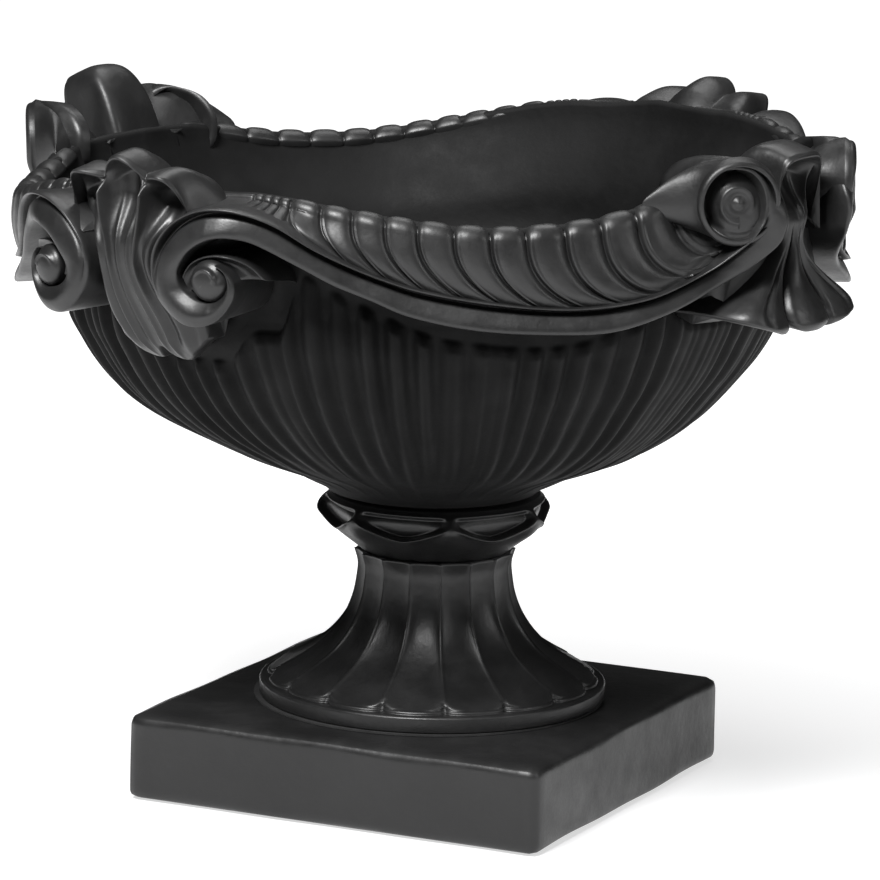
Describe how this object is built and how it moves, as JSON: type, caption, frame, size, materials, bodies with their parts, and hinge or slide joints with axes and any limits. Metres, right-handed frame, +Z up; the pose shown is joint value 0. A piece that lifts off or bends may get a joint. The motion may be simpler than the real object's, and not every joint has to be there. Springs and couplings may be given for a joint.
{
  "type": "urn planter",
  "caption": "Cast urn planter with a fluted bowl, scrolled and gadrooned rim, corner leaves, a fluted pedestal with a leaf collar, and a square plinth.",
  "frame": {"origin": "middle of the plinth's underside", "axes": "+Z up through the centre tie; +X and +Y square to the plinth's sides, with the plinth's -Y side at the left of the picture"},
  "size_m": [0.6894, 0.6874, 0.5138],
  "materials": {
    "cast_stone": "near-black charcoal cast stone, satin to matte, lighter on worn edges",
    "bedding_mortar": "dark matte mortar",
    "seal_rubber": "matte black rubber",
    "tie_steel": "dull zinc-plated steel"
  },
  "bodies": {
    "root": {"plinth": "cast_stone", "pedestal": "cast_stone", "leaf_collar": "cast_stone", "bowl": "cast_stone", "rim_scroll_1": "cast_stone", "rim_scroll_2": "cast_stone", "rim_scroll_3": "cast_stone", "rim_scroll_4": "cast_stone", "broad_leaf_front": "cast_stone", "broad_leaf_back": "cast_stone", "rolled_leaf_right": "cast_stone", "rolled_leaf_left": "cast_stone", "plinth_bead": "bedding_mortar", "bowl_gasket": "seal_rubber", "drain_seal": "seal_rubber", "tie_tube": "tie_steel", "upper_washer": "tie_steel", "upper_nut": "tie_steel", "lower_washer": "tie_steel", "lower_nut": "tie_steel"}
  },
  "joints": []
}
